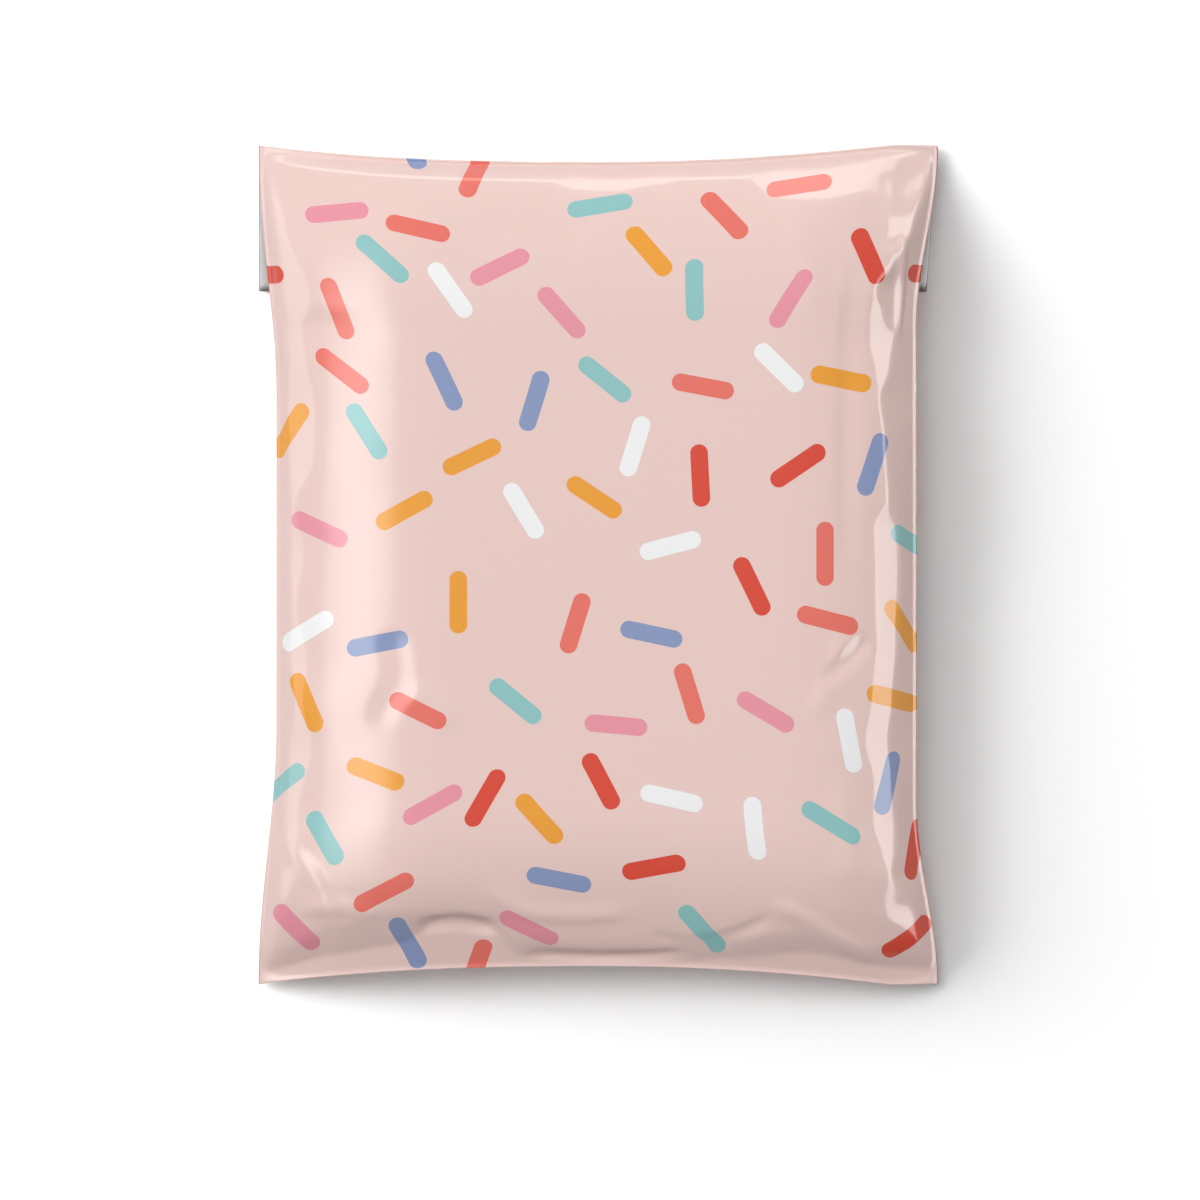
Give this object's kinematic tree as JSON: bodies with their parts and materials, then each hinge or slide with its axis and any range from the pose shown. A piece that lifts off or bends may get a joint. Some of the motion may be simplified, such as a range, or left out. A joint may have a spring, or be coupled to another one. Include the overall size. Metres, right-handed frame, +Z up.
{
  "type": "poly mailer bag",
  "caption": "Filled poly mailer bag lying on its back: glossy printed film, welded sides, folded foot and a glued flap over the mouth.",
  "frame": {"origin": "middle of the bag's footprint, on the surface that it lies on", "axes": "+Z up, out of the printed front panel; +Y along the bag's length, from the folded foot to the folded mouth; +X across it, to the right seen from the front"},
  "size_m": [0.254, 0.313, 0.038],
  "materials": {
    "printed_film": "glossy pink film with a print of scattered coloured bars; its inner side is plain grey"
  },
  "bodies": {
    "root": {"mailer_bag": "printed_film"}
  },
  "joints": []
}
